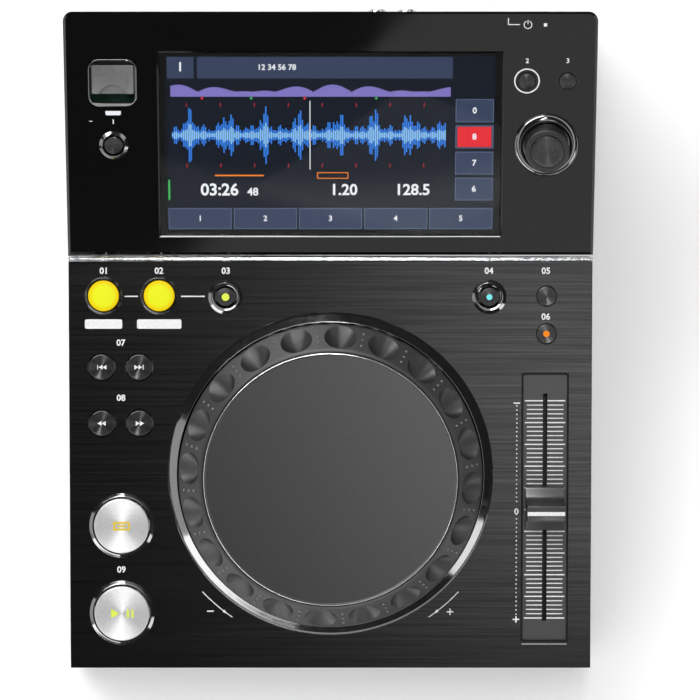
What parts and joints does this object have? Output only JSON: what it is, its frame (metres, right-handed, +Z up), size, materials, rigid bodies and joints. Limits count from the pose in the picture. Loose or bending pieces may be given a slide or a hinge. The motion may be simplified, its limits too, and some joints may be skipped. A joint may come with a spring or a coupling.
{
  "type": "dj media player",
  "caption": "Table-top player with a dimpled jog wheel, long tempo fader, round lit keys and a tilted touch display over a brushed deck.",
  "frame": {"origin": "on the table under the middle of the player's outline, jacks included", "axes": "+X to the player's right, +Y from the user's edge to the rear, +Z up"},
  "size_m": [0.238, 0.3034, 0.1071],
  "materials": {
    "case_black": "fine texture, matt",
    "gloss_black": "polished moulding",
    "deck_brushed": "brushed sheet, black",
    "bright_trim": "polished",
    "cover_glass": "clear, polished",
    "screen": "display module",
    "jog_black": "satin to gloss",
    "plate_grey": "very fine turned texture",
    "spun_silver": "spun face",
    "spun_dark": "dark, spun face",
    "amber_lens": "lit translucent yellow",
    "white_lens": "lit translucent white",
    "satin_black": "satin",
    "satin_grey": "satin grey",
    "steel": "turned",
    "brass_plain": "plain bushing",
    "board_green": "circuit board",
    "connector_black": "moulded",
    "plated": "plated shell",
    "foot_rubber": "matt"
  },
  "bodies": {
    "chassis": {"ac_inlet": "connector_black", "audio_jacks": "plated", "bottom_case": "case_black", "button_surrounds": "gloss_black", "control_board": "board_green", "deck_panel": "deck_brushed", "display_board": "board_green", "display_glass": "cover_glass", "display_housing": "gloss_black", "display_trim": "bright_trim", "fader_body": "satin_black", "feet": "foot_rubber", "indicator_lights": "white_lens", "jog_bezel": "gloss_black", "jog_bracket": "steel", "jog_bushing": "brass_plain", "jog_sensor": "satin_black", "lcd_module": "screen", "link_port": "connector_black", "main_board": "board_green", "power_supply_board": "board_green", "rear_case": "case_black", "rear_panel": "case_black", "selector_encoder": "connector_black", "slider_panel": "satin_black", "tact_switches": "connector_black", "upper_case": "case_black", "usb_b_port": "plated", "usb_bezel": "satin_black", "usb_socket": "plated"},
    "jog_wheel": {"jog_ring": "jog_black", "jog_shaft": "steel", "encoder_disc": "steel"},
    "touch_plate": {"jog_plate": "plate_grey"},
    "tempo_slider": {"slider_cap": "satin_black", "slider_carriage": "satin_black"},
    "selector_push": {"selector_plunger": "connector_black"},
    "selector_knob": {"selector_grip": "satin_black", "selector_cap": "spun_dark", "selector_shaft": "steel"},
    "port_flap": {"usb_flap": "satin_grey"},
    "power_key": {"power_button": "satin_black"},
    "loop_in_key": {"loop_in_button": "amber_lens"},
    "loop_out_key": {"loop_out_button": "amber_lens"},
    "reloop_key": {"reloop_button": "satin_black"},
    "vinyl_key": {"vinyl_button": "satin_black"},
    "tempo_range_key": {"tempo_range_button": "spun_dark"},
    "master_tempo_key": {"master_tempo_button": "spun_dark"},
    "track_back_key": {"track_back_button": "spun_dark"},
    "track_forward_key": {"track_forward_button": "spun_dark"},
    "search_back_key": {"search_back_button": "spun_dark"},
    "search_forward_key": {"search_forward_button": "spun_dark"},
    "cue_key": {"cue_button": "spun_silver"},
    "play_key": {"play_button": "spun_silver"},
    "usb_stop_key": {"usb_stop_button": "spun_dark"},
    "back_key": {"back_button": "satin_black"},
    "tag_key": {"tag_button": "satin_black"}
  },
  "joints": [
    {"name": "jog_spin", "type": "hinge", "parent": "chassis", "child": "jog_wheel", "pos_m": [0, -0.0627, 0.05829], "axis": [0, -0.0872, 0.9962], "continuous": true},
    {"name": "jog_touch", "type": "slide", "parent": "jog_wheel", "child": "touch_plate", "axis": [0, 0.0872, -0.9962], "range_m": [0, 0.0004], "stiffness_N_per_m": 4000, "springref_m": -0.0008},
    {"name": "tempo_slide", "type": "slide", "parent": "chassis", "child": "tempo_slider", "axis": [0, 0.9962, 0.0872], "range_m": [-0.05, 0.05]},
    {"name": "selector_press", "type": "slide", "parent": "chassis", "child": "selector_push", "axis": [0, 0.3256, -0.9455], "range_m": [0, 0.0006], "stiffness_N_per_m": 1500, "springref_m": -0.0015},
    {"name": "selector_turn", "type": "hinge", "parent": "selector_push", "child": "selector_knob", "pos_m": [0.0968, 0.08589, 0.08742], "axis": [0, -0.3256, 0.9455], "continuous": true},
    {"name": "port_flap_hinge", "type": "hinge", "parent": "chassis", "child": "port_flap", "pos_m": [-0.0973, 0.12039, 0.09888], "axis": [-1, 0, 0], "range_deg": [0, 95]},
    {"name": "power_press", "type": "slide", "parent": "chassis", "child": "power_key", "axis": [0, -1, 0], "range_m": [0, 0.002], "stiffness_N_per_m": 500, "springref_m": -0.002},
    {"name": "loop_in_press", "type": "slide", "parent": "chassis", "child": "loop_in_key", "axis": [0, 0.0872, -0.9962], "range_m": [0, 0.0008], "stiffness_N_per_m": 500, "springref_m": -0.002},
    {"name": "loop_out_press", "type": "slide", "parent": "chassis", "child": "loop_out_key", "axis": [0, 0.0872, -0.9962], "range_m": [0, 0.0008], "stiffness_N_per_m": 500, "springref_m": -0.002},
    {"name": "reloop_press", "type": "slide", "parent": "chassis", "child": "reloop_key", "axis": [0, 0.0872, -0.9962], "range_m": [0, 0.0008], "stiffness_N_per_m": 500, "springref_m": -0.002},
    {"name": "vinyl_press", "type": "slide", "parent": "chassis", "child": "vinyl_key", "axis": [0, 0.0872, -0.9962], "range_m": [0, 0.0008], "stiffness_N_per_m": 500, "springref_m": -0.002},
    {"name": "tempo_range_press", "type": "slide", "parent": "chassis", "child": "tempo_range_key", "axis": [0, 0.0872, -0.9962], "range_m": [0, 0.0008], "stiffness_N_per_m": 500, "springref_m": -0.002},
    {"name": "master_tempo_press", "type": "slide", "parent": "chassis", "child": "master_tempo_key", "axis": [0, 0.0872, -0.9962], "range_m": [0, 0.0008], "stiffness_N_per_m": 500, "springref_m": -0.002},
    {"name": "track_back_press", "type": "slide", "parent": "chassis", "child": "track_back_key", "axis": [0, 0.0872, -0.9962], "range_m": [0, 0.0008], "stiffness_N_per_m": 500, "springref_m": -0.002},
    {"name": "track_forward_press", "type": "slide", "parent": "chassis", "child": "track_forward_key", "axis": [0, 0.0872, -0.9962], "range_m": [0, 0.0008], "stiffness_N_per_m": 500, "springref_m": -0.002},
    {"name": "search_back_press", "type": "slide", "parent": "chassis", "child": "search_back_key", "axis": [0, 0.0872, -0.9962], "range_m": [0, 0.0008], "stiffness_N_per_m": 500, "springref_m": -0.002},
    {"name": "search_forward_press", "type": "slide", "parent": "chassis", "child": "search_forward_key", "axis": [0, 0.0872, -0.9962], "range_m": [0, 0.0008], "stiffness_N_per_m": 500, "springref_m": -0.002},
    {"name": "cue_press", "type": "slide", "parent": "chassis", "child": "cue_key", "axis": [0, 0.0872, -0.9962], "range_m": [0, 0.001], "stiffness_N_per_m": 500, "springref_m": -0.002},
    {"name": "play_press", "type": "slide", "parent": "chassis", "child": "play_key", "axis": [0, 0.0872, -0.9962], "range_m": [0, 0.001], "stiffness_N_per_m": 500, "springref_m": -0.002},
    {"name": "usb_stop_press", "type": "slide", "parent": "chassis", "child": "usb_stop_key", "axis": [0, 0.3256, -0.9455], "range_m": [0, 0.0008], "stiffness_N_per_m": 500, "springref_m": -0.002},
    {"name": "back_press", "type": "slide", "parent": "chassis", "child": "back_key", "axis": [0, 0.3256, -0.9455], "range_m": [0, 0.0008], "stiffness_N_per_m": 500, "springref_m": -0.002},
    {"name": "tag_press", "type": "slide", "parent": "chassis", "child": "tag_key", "axis": [0, 0.3256, -0.9455], "range_m": [0, 0.0008], "stiffness_N_per_m": 500, "springref_m": -0.002}
  ]
}
